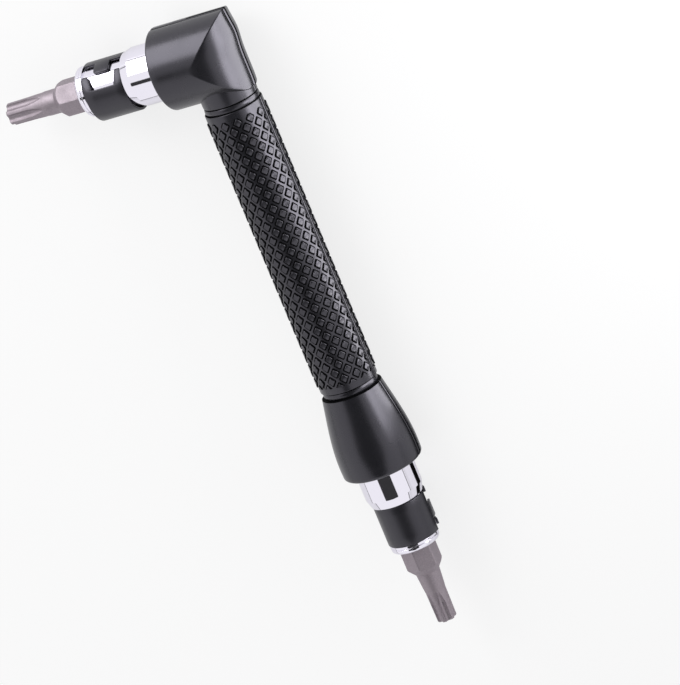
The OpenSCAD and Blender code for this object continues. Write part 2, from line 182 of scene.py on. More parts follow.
class BitSizes(bpy.types.PropertyGroup):
    """Sizes of the insert bits."""

    hex_af: size("Hexagon", 6.35, "Across the flats of the hexagon")
    hex_power: FloatProperty(name="Corner crispness", default=46, min=8,
                             description="How crisp the corners of the hexagon are")
    hex_len: size("Hexagon length", 12.9, "Length of the hexagon along its corners")
    cone_len: size("Cone", 1.6, "Length of the cone in front of the hexagon")
    back_chamfer: size("Back chamfer", 0.4, "Chamfer at the back of the hexagon")
    length: size("Length", 25, "Length of a bit")
    shaft_d: size("Shaft", 4.8, "Diameter of the shaft behind the star")
    shaft_step: size("Shaft step", 0.15, "Step in diameter from the shaft down to the root of the star")
    shoulder: size("Shoulder", 0.5, "Length of the shoulder behind the star")
    draft: size("Draft", 0.18, "Widening of the star towards its root")
    tip_bevel: size("Tip bevel", 0.2, "Bevel at the tip")
    flute_edge: size("Flute edges", 0.05, "Rounding of the edges of the flutes")
    head_star_d: size("Head star", 4.43, "Across the lobes of the star of the head bit")
    head_star_len: size("Head star length", 7.6, "Length of that star")
    tail_star_d: size("Tail star", 3.86, "Across the lobes of the star of the tail bit")
    tail_star_len: size("Tail star length", 6.4, "Length of that star")
    head_star_turn: angle("Head star turn", 23, "Turn of the star of the head bit against its hexagon")
    core_share: factor("Core share", 0.72, "Between opposite flutes, as a share of the star")
    flute_share: factor("Flute share", 0.19, "Radius of a flute as a share of the star")
    even_share: factor("Even share", 0.6, "Even part of the flutes as a share of the length of the star")


class FinishSettings(bpy.types.PropertyGroup):
    """Colours of the finishes, as sRGB hex values."""

    shell: StringProperty(name="Shell", default="#17171a", description="Black of the moulded shells")
    # Painted shade: the near black that stands in for the shade in the steps, grooves and flanks
    seam: StringProperty(name="Seam", default="#080809", description="Black of their steps and grooves")
    band: StringProperty(name="Band", default="#151518", description="Black of the bands")
    chrome: StringProperty(name="Chrome", default="#ece9f4", description="Tint of the chrome plate")
    bit: StringProperty(name="Bit", default="#aea4ac", description="Tint of the tumbled bit steel")
    steel: StringProperty(name="Steel", default="#b4b4b6", description="Tint of the rod and the pins")
    nickel: StringProperty(name="Nickel", default="#c9c4bb", description="Tint of the magnets")
    spring: StringProperty(name="Spring", default="#6d7078", description="Tint of the clips")


class StageSettings(bpy.types.PropertyGroup):
    """The floor and the camera."""

    floor: StringProperty(name="Floor", default="#f7f7f8", description="Colour of the floor")
    # Painted shade: the colour of the card that is seen only in reflections behind the tool
    card: StringProperty(name="Card", default="#101010", description="Colour of the card")
    focal: FloatProperty(name="Focal length", default=317.647, description="Focal length in millimetres")
    eye: FloatVectorProperty(name="Eye", default=(0.26075, -0.45937, 0.98808), subtype="XYZ",
                             description="Place of the camera from the middle of the elbow")
    turn: FloatVectorProperty(name="Turn", default=(-0.4293992, 0.2915145, -1.9662479), subtype="EULER",
                              description="Turn of the camera")


def linear(code, strength=1.0):
    """An sRGB hex colour as linear red, green, blue and alpha, times a strength."""
    c = np.array([int(code[i:i + 2], 16) for i in (1, 3, 5)]) / 255
    return (*(strength * np.where(c <= 0.04045, c / 12.92, ((c + 0.055) / 1.055) ** 2.4)), 1.0)


def add(tree, kind, inputs=None, **settings):
    """Adds a node, applies its settings, and fills its sockets with values or the outputs of other nodes."""
    node = tree.nodes.new(kind)
    for key, value in settings.items():
        setattr(node, key, value)
    for key, value in (inputs or {}).items():
        if isinstance(value, bpy.types.NodeSocket):
            tree.links.new(value, node.inputs[key])
        else:
            node.inputs[key].default_value = value
    return node


def new_material(name):
    """A node material without nodes, and its tree."""
    material = bpy.data.materials.new(name)
    material.use_nodes = True
    material.node_tree.nodes.clear()
    return material, material.node_tree


# Each plastic: its colour among the settings, its roughness and how much that varies, the width and the
# height of its orange peel, and for the one painted as shade its specular level
PLASTICS = {
    # Gloss black mouldings straight from a polished mould: clear highlights
    "moulded_abs_gloss": ("shell", 0.27, 0.03, 0.5 * MM, 0.0008 * MM),
    # The steps, grooves and flanks, painted near black and without highlight: painted shade in the creases,
    # deep black lines
    "moulded_abs_seam_painted_shade": ("seam", 0.55, 0.05, 0.3 * MM, 0.002 * MM, 0.01),
    # The tops of the pads come from the eroded part of the mould: a little duller
    "moulded_abs_pad_tops": ("shell", 0.3, 0.03, 0.25 * MM, 0.002 * MM),
    # Snap bands of acetal: satin, slightly waxy
    "acetal_satin": ("band", 0.33, 0.03, 0.35 * MM, 0.0015 * MM),
}
# Each metal: its colour among the settings, its roughness and how much that varies, the width and the height
# of its grain, and how dark the grain is
METALS = {
    # Bright chrome plate over turned and polished steel: a clear mirror
    "polished_chrome_plate": ("chrome", 0.05, 0.015, 0.6 * MM, 0.0004 * MM, 0.98),
    # Tool steel tumbled after hardening: even satin with a warm grey cast
    "tumbled_tool_steel": ("bit", 0.56, 0.05, 0.24 * MM, 0.014 * MM, 0.6),
    # Drawn rod and pins, as they come from the bar: plain grey
    "drawn_steel": ("steel", 0.3, 0.05, 0.3 * MM, 0.003 * MM, 0.85),
    # Nickel plated magnets: bright, with a yellow cast
    "nickel_plate": ("nickel", 0.2, 0.03, 0.4 * MM, 0.001 * MM, 0.95),
    # Spring steel, blued by hardening: dark blue grey
    "blued_spring_steel": ("spring", 0.28, 0.04, 0.3 * MM, 0.002 * MM, 0.85),
}
# The seam finish is painted shade for the creases
GLOSS, SEAM_SHADE = "moulded_abs_gloss", "moulded_abs_seam_painted_shade"
HANDLED_PATCH = 7 * MM
HANDLED_STRENGTH = 1.3
METAL_CLOUD = 2.5 * MM
# A little over plain plastic, for the strong highlights of the moulded skin, which have a faint violet cast
SKIN_IOR = 1.64
SKIN_TINT = "#f3efff"


def plastic(name, colour, roughness, spread, peel, height, gloss=0.5):
    """Moulded plastic, black right through: a highlight that is soft at its edge, from the faint orange peel
    of the mould, and patches that are a little duller where it is handled. The peel is drawn coarse enough to
    show."""
    material, tree = new_material(name)
    place = add(tree, "ShaderNodeTexCoord").outputs["Object"]
    handled = add(tree, "ShaderNodeTexNoise", {"Vector": place, "Scale": 1 / HANDLED_PATCH, "Detail": 4.0})
    dull = add(tree, "ShaderNodeMapRange", {
        "Value": handled.outputs["Fac"], "From Min": 0.3, "From Max": 0.7,
        "To Min": roughness - spread, "To Max": roughness + spread})
    skin = add(tree, "ShaderNodeTexNoise", {"Vector": place, "Scale": 1 / peel, "Detail": 2.0})
    bump = add(tree, "ShaderNodeBump", {"Height": skin.outputs["Fac"], "Strength": 1.0, "Distance": height})
    tint = add(tree, "ShaderNodeMix", {
        "Factor": handled.outputs["Fac"], "A": linear(colour), "B": linear(colour, HANDLED_STRENGTH)},
        data_type="RGBA")
    shader = add(tree, "ShaderNodeBsdfPrincipled", {
        "Base Color": tint.outputs["Result"], "Roughness": dull.outputs["Result"],
        "Normal": bump.outputs["Normal"], "IOR": SKIN_IOR, "Specular IOR Level": gloss,
        "Specular Tint": linear(SKIN_TINT)})
    add(tree, "ShaderNodeOutputMaterial", {"Surface": shader.outputs["BSDF"]})
    return material


def metal(name, colour, roughness, spread, grain, height, shade):
    """Bare or plated metal: it mirrors its surroundings in its own tint, and a fine grain, drawn coarse
    enough to show, spreads the reflection."""
    material, tree = new_material(name)
    place = add(tree, "ShaderNodeTexCoord").outputs["Object"]
    cloud = add(tree, "ShaderNodeTexNoise", {"Vector": place, "Scale": 1 / METAL_CLOUD, "Detail": 5.0})
    grit = add(tree, "ShaderNodeTexNoise", {"Vector": place, "Scale": 1 / grain, "Detail": 3.0})
    rough = add(tree, "ShaderNodeMapRange", {
        "Value": cloud.outputs["Fac"], "From Min": 0.3, "From Max": 0.7,
        "To Min": roughness - spread, "To Max": roughness + spread})
    tint = add(tree, "ShaderNodeMix", {
        "Factor": grit.outputs["Fac"], "A": linear(colour), "B": linear(colour, shade)}, data_type="RGBA")
    bump = add(tree, "ShaderNodeBump", {"Height": grit.outputs["Fac"], "Strength": 1.0, "Distance": height})
    shader = add(tree, "ShaderNodeBsdfPrincipled", {
        "Base Color": tint.outputs["Result"], "Roughness": rough.outputs["Result"],
        "Normal": bump.outputs["Normal"], "Metallic": 1.0})
    add(tree, "ShaderNodeOutputMaterial", {"Surface": shader.outputs["BSDF"]})
    return material


def finish(name):
    """The named finish, made once."""
    if name in bpy.data.materials:
        return bpy.data.materials[name]
    maker, (colour, *values) = (plastic, PLASTICS[name]) if name in PLASTICS else (metal, METALS[name])
    return maker(name, getattr(bpy.context.scene.driver_finish, colour), *values)


def patch(points, finish_name, wrap=False):
    """A surface given as rows and columns of points, as a list of points, faces and its finish. With wrap,
    the last column joins the first."""
    rows, columns = points.shape[:2]
    at = np.arange(rows * columns).reshape(rows, columns)
    if wrap:
        at = np.concatenate([at, at[:, :1]], 1)
    quads = np.stack([at[:-1, :-1], at[1:, :-1], at[1:, 1:], at[:-1, 1:]], -1).reshape(-1, 4)
    return points.reshape(-1, 3), quads.tolist(), finish_name


def corner_arc(back, here, on, radius, steps, lead):
    """An arc that rounds the corner here between the sides to back and on, and touches both. A lead is the
    share of each straight side that gets a point of its own, so that the shading of the side stays flat."""
    run_in, run_out = np.linalg.norm(back - here), np.linalg.norm(on - here)
    side_in, side_out = (back - here) / run_in, (on - here) / run_out
    half = math.acos(np.clip(side_in @ side_out, -1, 1)) / 2
    reach = radius / math.tan(half)
    middle = here + (side_in + side_out) / np.linalg.norm(side_in + side_out) * radius / math.sin(half)
    first, last = here + side_in * reach - middle, here + side_out * reach - middle
    sweep = math.acos(np.clip(first @ last / radius ** 2, -1, 1))
    t = np.linspace(0, 1, steps + 1)[:, None]
    arc = middle + (np.sin((1 - t) * sweep) * first + np.sin(t * sweep) * last) / math.sin(sweep)
    if lead:
        before = arc[:1] + side_in * lead * (run_in - reach)
        after = arc[-1:] + side_out * lead * (run_out - reach)
        arc = np.concatenate([before, arc, after])
    return arc


def rounded(corners, steps=6, lead=0):
    """A path through corners (u, v, radius), where each corner with a radius between the two ends is an
    arc."""
    places = np.array([corner[:2] for corner in corners], float)
    path = [places[:1]]
    for back, here, on, (_, _, radius) in zip(places, places[1:], places[2:], corners[1:]):
        path.append(corner_arc(back, here, on, radius, steps, lead) if radius > 0 else here[None])
    return np.concatenate([*path, places[-1:]])


def full_turn(count):
    """Even turns once around an axis, as one row."""
    return np.linspace(0, 2 * np.pi, count, endpoint=False)[None]


def around(path, turns):
    """A surface of revolution: each point (radius, distance) of a path goes around the axis at every turn."""
    r, z = path[:, :1], path[:, 1:2]
    return np.stack([r * np.cos(turns), r * np.sin(turns), z + 0 * turns], -1)


def on_head(points):
    """Puts points drawn along an axis into the head: the axis runs out of the face of the head."""
    x, y, z = np.moveaxis(points, -1, 0)
    return np.stack([HEAD_X + x, HEAD_FACE_Y + z, MID_Z - y], -1)


def on_tail(points):
    """Puts points drawn along an axis into the tail: the axis runs out of the end of the handle."""
    x, y, z = np.moveaxis(points, -1, 0)
    return np.stack([TAIL_FACE_X - z, TAIL_Y + y, MID_Z + x], -1)


def build(name, parts, body, node, crease):
    """Makes one object from parts (points, faces, finish), welds it, turns its faces outwards, keeps edges
    sharp that bend by more than crease, in degrees, and puts it in place of a node."""
    finishes = list(dict.fromkeys(part[2] for part in parts))
    starts = np.cumsum([0] + [len(part[0]) for part in parts]).tolist()
    faces = [[i + start for i in face] for part, start in zip(parts, starts) for face in part[1]]
    index = np.concatenate([np.full(len(part[1]), finishes.index(part[2]), np.int32) for part in parts])
    mesh = bpy.data.meshes.new(name)
    mesh.from_pydata(np.concatenate([part[0] for part in parts]).tolist(), [], faces)
    mesh.polygons.foreach_set("material_index", index)
    for finish_name in finishes:
        mesh.materials.append(finish(finish_name))
    bm = bmesh.new()
    bm.from_mesh(mesh)
    bmesh.ops.remove_doubles(bm, verts=bm.verts, dist=1e-7)
    bmesh.ops.dissolve_degenerate(bm, edges=bm.edges, dist=1e-8)
    bmesh.ops.recalc_face_normals(bm, faces=bm.faces)
    bm.to_mesh(mesh)
    bm.free()
    mesh.shade_smooth()
    mesh.set_sharp_from_angle(angle=math.radians(crease))
    piece = bpy.data.objects.new(name, mesh)
    bpy.context.scene.collection.objects.link(piece)
    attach(piece, body)
    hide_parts(node)
    return piece


# The step beside the parting line, column by column from the line: how far out each column lies, as a share
# of the width of the step, and how far it sinks on the front shell and on the back shell, as a share of the
# depth
SEAM_PLACE_SHARES = np.array([0, 0.3, 0.55, 0.8, 1.0])
FRONT_SINK_SHARES = np.array([1, 0.95, 0.6, 0.12, 0])
BACK_SINK_SHARES = np.array([0.55, 0.2, 0.04, 0, 0])
# How many of those columns carry the painted shade of the seam finish, and how far out the even columns start
SEAM_COLUMNS = 4
EVEN_START_SHARE = 1.6
# The step on the handle is smaller than on the head
HANDLE_SEAM_SHARE = 0.5
HEAD_TURNS, HANDLE_TURNS = 71, 69
# The step gets shallower from the elbow to the face of the head by this share
BARREL_FADE_SHARE = 0.6
# The rear of the head bows out everywhere by the least share, and by the whole around a middle towards its
# top
BOW_LEAST_SHARE, BOW_MIDDLE_SHARE, BOW_WIDTH_SHARE = 0.3, 0.38, 0.33
BOW_FLATNESS = 8
# A ridge takes at most this share of the width; the lower one is blunter close to the parting plane
RIDGE_MOST_SHARE = 0.45
RIDGE_BLUNT_SHARE, RIDGE_BLUNT_POWER = 1.5, 40


def parting_turns(s, radius, count, side, share=1.0):
    """Turns from one side of the parting plane to the other, with extra ones for the step at both ends, and
    how far each of them sinks: the front shell steps back there, and the edge of the back shell is only
    rounded."""
    edge = math.asin(share * s.part_w / radius) * SEAM_PLACE_SHARES
    depth = share * s.part_depth * (FRONT_SINK_SHARES if side > 0 else BACK_SINK_SHARES)
    start = EVEN_START_SHARE * edge[-1]
    inner = np.linspace(start, math.pi - start, count)
    turns = np.concatenate([edge, inner, math.pi - edge[::-1]])
    return turns, np.concatenate([depth, 0 * inner, depth[::-1]])


def seam_strips(points, side):
    """The columns next to a parting line at the first column: painted shade, apart from a glossy rim on the
    back shell."""
    if side > 0:
        return [patch(points[:, :SEAM_COLUMNS], SEAM_SHADE)]
    return [patch(points[:, :2], GLOSS), patch(points[:, 1:SEAM_COLUMNS], SEAM_SHADE)]


def head_barrel(s, side, turns, sink):
    """The barrel of the head: an outline from the middle of the face over its rounded edge and back to the
    elbow, carried half way around the axis of the head."""
    radius, reach = s.head_d / 2, s.head_reach
    face = rounded([(0, reach, 0), (radius, reach, s.head_edge), (radius, 0, 0)])[:-1]
    straight = np.linspace(reach - s.head_edge, 0, 7)[1:]
    path = np.concatenate([face, np.stack([np.full(6, radius), straight], -1)])
    r, y = path[:, :1], path[:, 1:]
    r = r - np.where(r > 0.8 * radius, sink * (1 - BARREL_FADE_SHARE * y / reach), 0)
    x, z = r * np.cos(turns), side * r * np.sin(turns)
    return np.stack([HEAD_X + x, HEAD_FACE_Y - reach + y + 0 * turns, MID_Z + z], -1)


def head_rear(s, side, turns, sink):
    """The rear of the head. At every height its plan is half a square behind the barrel: along one side,
    around the near ridge, across the rear, around the far ridge and back along the other side. The corners of
    all the plans make the two ridges. Then the rear bows out."""
    radius, count = s.head_d / 2, len(turns) // 2 + 1
    full = radius - sink[:count]
    wide, high = (full * np.cos(turns[:count]))[:, None], (full * np.sin(turns[:count]))[:, None]
    wide[-1] = 0
    blunt = 1 + RIDGE_BLUNT_SHARE * (wide / radius) ** RIDGE_BLUNT_POWER
    near = np.minimum(s.upper_groin, RIDGE_MOST_SHARE * wide)
    far = np.minimum(s.lower_groin * blunt, RIDGE_MOST_SHARE * wide)
    t, bend = np.linspace(0, 1, 31)[None], np.linspace(0, math.pi / 2, 9)[None]
    x = np.concatenate([wide + 0 * t, wide - near + near * np.cos(bend),
                        wide - near - t * (2 * wide - near - far),
                        -wide + far - far * np.sin(bend), -wide + 0 * t], 1)
    y = np.concatenate([-t * (wide - near), -wide + near - near * np.sin(bend), -wide + 0 * t,
                        -wide + far - far * np.cos(bend), -(1 - t) * (wide - far)], 1)
    inner = np.clip(1 - (x / np.maximum(wide, 1e-6)) ** BOW_FLATNESS, 0, 1)
    swell = BOW_LEAST_SHARE + np.exp(-((x / radius - BOW_MIDDLE_SHARE) / BOW_WIDTH_SHARE) ** 2)
    y = y * (1 + s.rear_bow / radius * inner * swell)
    return np.stack([HEAD_X + x, HEAD_FACE_Y - s.head_reach + y, MID_Z + side * high + 0 * x], -1)


def head_half(s, side):
    """Half of the elbow head: its barrel, its rear, and a flat face that closes both in the parting plane."""
    turns, sink = parting_turns(s, s.head_d / 2, HEAD_TURNS, side)
    front, rear = head_barrel(s, side, turns, sink), head_rear(s, side, turns, sink)
    cap = np.concatenate([front[:, 0], rear[0, 1:-1], front[::-1, -1][:-1]])
    # The rows of the rear go up from the parting plane, so they are the columns beside the seam
    rear = np.swapaxes(rear, 0, 1)
    skin = [patch(front, GLOSS), *seam_strips(rear, side), patch(rear[:, SEAM_COLUMNS - 1:], GLOSS)]
    return [*skin, (cap, [list(range(len(cap)))], SEAM_SHADE)]


def bell_shape(t):
    """Swelling of the collar: it leaves the hoop gently, rises through the middle, levels off at its widest
    place, which is at 1, and draws in again after it."""
    inner = np.clip(t, 0, 1)
    rise, ease = 1 - (1 - inner) ** 2, inner ** 2 * (3 - 2 * inner)
    return 0.62 * rise + 0.38 * ease - 0.9 * np.clip(t - 1, 0, 1) ** 2


BELL_PLACES = np.linspace(0, 1.3, 27)
# First and last row of each stretch along the outline of the handle; the grooves of the hoops start and end
# half way over their rounded edges, and carry painted shade
NECK_ROWS, GRIP_ROWS, COLLAR_START = (0, 3), (8, 13), 18
UPPER_GROOVE_ROWS, LOWER_GROOVE_ROWS = (3, 8), (13, 18)


def handle_profile(s):
    """Outline of half a shell along the handle, as (radius, distance from the axis of the head): the outside
    first, then back along the bores. Also how many of its points lie outside."""
    upper, end = s.head_d / 2 + s.hoop_gap, HEAD_X - TAIL_FACE_X
    lower = end - s.collar_len
    half, bevel = s.hoop_w / 2, s.groove_bevel
    seat, neck_end, valley = s.hoop_d / 2 - s.hoop_depth, s.neck_end_d / 2, s.valley_d / 2
    grip = rounded([
        (s.neck_d / 2, 0, 0), (neck_end, upper - half, bevel), (seat, upper - half, 0),
        (seat, upper + half, 0), (valley, upper + half, bevel), (valley, lower - half, bevel),
        (seat, lower - half, 0), (seat, lower + half, 0)], 3)
    start, bell_end = s.collar_start_d / 2, end - s.collar_edge
    along = np.linspace(lower + half + bevel, bell_end, 25)
    swell = np.interp((along - lower) / s.bell_len, BELL_PLACES, bell_shape(BELL_PLACES))
    bell = start + (s.collar_d / 2 - start) * swell
    turn = np.linspace(0, math.pi / 2, 8)[1:]
    rim_r, rim_along = bell[-1] - s.collar_edge * (1 - np.cos(turn)), bell_end + s.collar_edge * np.sin(turn)
    collar = np.concatenate([np.stack([bell, along], -1), np.stack([rim_r, rim_along], -1)])
    outside = np.concatenate([grip, [[start - bevel, lower + half]], collar])
    bore, rod, deep = s.shank_d / 2, s.rod_d / 2, end - s.shank_len
    inside = np.array([[bore, end], [bore, deep], [rod, deep], [rod, 0]])
    return np.concatenate([outside, inside]), len(outside)


def handle_half(s, side):
    """Half of the neck, grip and collar: its outline carried half way around the handle, closed by two flat
    faces in the parting plane."""
    path, outside = handle_profile(s)
    turns, sink = parting_turns(s, s.grip_d / 2, HANDLE_TURNS, side, HANDLE_SEAM_SHARE)
    r = path[:, :1] - np.where(np.arange(len(path))[:, None] < outside, sink, 0)
    r, along = np.concatenate([r, r[:1]]), np.concatenate([path[:, 1:], path[:1, 1:]])
    y, z = r * np.cos(turns), side * r * np.sin(turns)
    points = np.stack([HEAD_X - along + 0 * turns, TAIL_Y + y, MID_Z + z], -1)
    even = points[:, SEAM_COLUMNS - 1:1 - SEAM_COLUMNS]
    # The grooves of the hoops and the steps at the parting line carry painted shade
    grooves = [patch(even[first:last + 1], SEAM_SHADE) for first, last in (UPPER_GROOVE_ROWS, LOWER_GROOVE_ROWS)]
    gloss = [patch(even[first:last + 1], GLOSS) for first, last in (NECK_ROWS, GRIP_ROWS)]
    seams = seam_strips(points, side) + seam_strips(points[:, ::-1], side)
    flat = [(points[:-1, column], [list(range(len(path)))], SEAM_SHADE) for column in (0, -1)]
    return [*grooves, *gloss, patch(even[COLLAR_START:], GLOSS), *seams, *flat]


# A pad ring by ring from its foot to its top: how far each ring stands out past the top, as a share of the
# cell, and its height, from the valley for the first three rings and from the top of the grip for the last
# two
PAD_OUT_SHARES = np.array([0.14, 0.137, 0.06, 0.005, -0.02])
PAD_FOOT_HEIGHTS = np.array([-0.06, 0.006, 0.012]) * MM
PAD_TOP_HEIGHTS = np.array([-0.05, 0]) * MM
# Where the cut corner of a pad starts, as a share of half its side
PAD_CORNER_SHARE = 0.78
# A pad is left out where its middle lies further past the end of the lattice than this share of the pitch
PAD_OVER_SHARE = 0.2


def pad_rings(s):
    """One pad as rings of points (offsets along the two diagonals of the lattice, radius): squares with cut
    corners, each a middle of a side and the two ends of the corner after it, four times around."""
    reach = (s.pad_share / 2 + PAD_OUT_SHARES)[:, None]
    radius = np.concatenate([s.valley_d / 2 + PAD_FOOT_HEIGHTS, s.grip_d / 2 + PAD_TOP_HEIGHTS])[:, None]
    quarter = (np.arange(4) * math.pi / 2)[:, None]
    along, across = np.array([0, PAD_CORNER_SHARE, 1]), np.array([1, 1, PAD_CORNER_SHARE])
    u = (np.cos(quarter) * across - np.sin(quarter) * along).ravel()
    v = (np.sin(quarter) * across + np.cos(quarter) * along).ravel()
    return np.stack([reach * u, reach * v, radius + 0 * u], -1)


def grip_pads(s, side):
    """The raised pads of one half: every pad is the same rings, set on the points of a lattice of staggered
    columns wrapped around the grip, then cut off straight at the smooth ends and beside the parting line."""
    step = math.pi / s.pad_columns
    start, end = s.head_d / 2 + s.hoop_gap + s.relief, HEAD_X - TAIL_FACE_X - s.collar_len - s.relief
    column = np.arange(-s.pad_columns // 2, s.pad_columns // 2)
    row = np.arange(int((end - s.pad_first) / s.pad_pitch) + 1)
    across, along = np.meshgrid((column + 0.5) * step, s.pad_first + row * s.pad_pitch, indexing="ij")
    along = along + np.where(column % 2 == 0, s.pad_pitch / 2, 0)[:, None]
    keep = along < end + PAD_OVER_SHARE * s.pad_pitch
    rings = pad_rings(s)
    u, v, radius = np.moveaxis(rings, -1, 0)
    turn = across[keep][:, None, None] + (u - v) * step
    distance = along[keep][:, None, None] + (u + v) * s.pad_pitch / 2
    y, z = -radius * np.sin(turn), side * radius * np.cos(turn)
    points = np.stack([HEAD_X - distance, TAIL_Y + y, MID_Z + z], -1)
    limit, axis = math.pi / 2 - s.pad_margin, (0, TAIL_Y, MID_Z)
    planes = [((HEAD_X - start, 0, 0), (1, 0, 0)), ((HEAD_X - end, 0, 0), (-1, 0, 0))]
    planes += [(axis, (0, way * math.cos(limit), -side * math.sin(limit))) for way in (-1, 1)]
    return cut_pads(points, planes)


def cut_pads(points, planes):
    """Joins the rings of every pad to a closed block, and cuts off what lies in front of the planes. The
    flanks up to the last ring but one, and the foot, carry painted shade."""
    count, rings, around_one = points.shape[:3]
    at = np.arange(rings * around_one).reshape(rings, around_one)
    wall = np.stack([at[:-1], at[1:], np.roll(at[1:], -1, 1), np.roll(at[:-1], -1, 1)], -1).reshape(-1, 4)
    shift = (np.arange(count) * at.size)[:, None, None]
    faces = (wall + shift).reshape(-1, 4).tolist() + (at[[0, -1]] + shift).reshape(-1, around_one).tolist()
    flank = np.arange(len(wall)) < len(wall) - around_one
    # The faces marked here get the painted shade of the seam finish
    dull = np.concatenate([np.tile(flank, count), np.tile([True, False], count)])
    mesh = bpy.data.meshes.new("pads")
    mesh.from_pydata(points.reshape(-1, 3).tolist(), [], faces)
    mesh.polygons.foreach_set("material_index", dull.astype(np.int32))
    bm = bmesh.new()
    bm.from_mesh(mesh)
    for place, normal in planes:
        cut = bmesh.ops.bisect_plane(bm, geom=bm.verts[:] + bm.edges[:] + bm.faces[:], plane_co=place,
                                     plane_no=normal, clear_outer=True, dist=1e-8)
        edges = [e for e in cut["geom_cut"] if isinstance(e, bmesh.types.BMEdge) and e.is_boundary]
        bmesh.ops.holes_fill(bm, edges=edges)
    bm.to_mesh(mesh)
    bm.free()
    made = np.zeros(len(mesh.vertices) * 3)
    mesh.vertices.foreach_get("co", made)
    made = made.reshape(-1, 3)
    tops, flanks = ([list(p.vertices) for p in mesh.polygons if p.material_index == i] for i in (0, 1))
    bpy.data.meshes.remove(mesh)
    return [(made, tops, "moulded_abs_pad_tops"), (made, flanks, SEAM_SHADE)]


class DRIVER_OT_shells(bpy.types.Operator):
    """Build the two half shells with their padded grip"""

    bl_idname = "driver.shells"
    bl_label = "Half shells"

    def execute(self, context):
        s = context.scene.driver_handle
        for node, side in (("front_shell", 1), ("back_shell", -1)):
            parts = head_half(s, side) + handle_half(s, side) + grip_pads(s, side)
            build("dressed_" + node, parts, "handle", node, crease=40)
        return {"FINISHED"}


class DRIVER_OT_hoops(bpy.types.Operator):
    """Build the two hoops at the ends of the grip"""

    bl_idname = "driver.hoops"
    bl_label = "Hoops"

    def execute(self, context):
        s = context.scene.driver_handle
        upper, lower = s.head_d / 2 + s.hoop_gap, HEAD_X - TAIL_FACE_X - s.collar_len
        # Outline of a hoop: its side, a crown that is part of a circle, its other side and its inside
        half, crown, inner = s.hoop_w / 2 * s.hoop_fill, s.hoop_crown, s.hoop_d / 2 - s.hoop_depth
        lean = np.linspace(-1, 1, 13) * math.asin(half / crown)
        crest = np.stack([s.hoop_d / 2 - crown + crown * np.cos(lean), crown * np.sin(lean)], -1)
        path = np.concatenate([[[inner, -half]], crest, [[inner, half], [inner, -half]]])
        x, y, z = np.moveaxis(around(path, full_turn(144)), -1, 0)
        for node, at in (("upper_hoop", upper), ("lower_hoop", lower)):
            ring = np.stack([HEAD_X - at - s.hoop_shift - z, TAIL_Y + y, MID_Z + x], -1)
            # The sides and the inside of a hoop carry painted shade, for the shade in its groove; its crown
            # is gloss
            stretches = (ring[:2], SEAM_SHADE), (ring[1:-2], GLOSS), (ring[-3:], SEAM_SHADE)
            parts = [patch(points, name, True) for points, name in stretches]
            build("dressed_" + node, parts, "handle", node, crease=50)
        return {"FINISHED"}


# Share of each straight side of a holder that has a point of its own beside the rounded edges
HOLDER_LEAD_SHARE = 0.04


def hexagon(turns, flats, first):
    """Distance from the axis to a hexagon in every direction, with a corner in the direction first."""
    return flats / 2 / np.cos((turns - first) % (math.pi / 3) - math.pi / 6)


def holder(h, first):
    """A chrome holder as one closed surface around its axis: shank, flange, stem with its chamfer, groove and
    mouth ring with its turned line, then in over the bevel of the mouth, where the circle turns into the
    hexagon, down the socket and across its floor."""
    turns = full_turn(240)
    shank, stem, groove = h.shank_d / 2, h.stem_d / 2, h.groove_d / 2
    flange, ring, bevel = h.flange_d / 2, h.ring_d / 2, h.bevel_d / 2
    back, front = h.stem_len, h.stem_len + h.groove_len
    mouth, line, half = front + h.ring_len, front + h.line_at, h.line_w / 2
    path = rounded([
        (0, -h.shank_len, 0), (shank, -h.shank_len, h.edge), (shank, -h.flange_back, 0),
        (flange, -h.flange_back, h.edge), (flange, -h.flange_front, h.edge), (shank, -h.flange_front, 0),
        (shank, 0, 0), (stem, 0, h.edge), (stem, back - h.chamfer, h.chamfer_round),
        (h.stem_front_d / 2, back, h.edge), (groove, back, h.groove_round), (groove, front, h.groove_round),
        (ring, front, h.edge), (ring, line - half, h.line_round), (ring - h.line_depth, line, h.line_floor),
        (ring, line + half, h.line_round), (ring, mouth, h.ring_round),
        (bevel + h.bevel_out, mouth, h.bevel_round), (bevel - h.bevel_in, mouth - h.bevel_drop, 0),
    ], lead=HOLDER_LEAD_SHARE)
    floor = mouth - h.socket_depth
    depth, share = np.array([[mouth - h.hex_drop], [floor], [floor]]), np.array([[1], [1], [0]])
    flats = share * hexagon(turns, h.socket_af, first)
    inside = np.stack([flats * np.cos(turns), flats * np.sin(turns), depth + 0 * turns], -1)
    return np.concatenate([around(path, turns), inside])


class DRIVER_OT_holders(bpy.types.Operator):
    """Build the chrome holders of the head and the tail"""

    bl_idname = "driver.holders"
    bl_label = "Bit holders"

    def execute(self, context):
        h = context.scene.driver_holder
        for node, place, first in (("head_holder", on_head, math.pi / 6), ("tail_holder", on_tail, 0)):
            skin = patch(place(holder(h, first)), "polished_chrome_plate", True)
            build("dressed_" + node, [skin], "handle", node, crease=32)
        return {"FINISHED"}


def eased(left, radius):
    """How far a rounded corner draws an edge in, where the end of the edge is left away."""
    return radius * (1 - np.sqrt(1 - (1 - np.clip(left / radius, 0, 1)) ** 2))


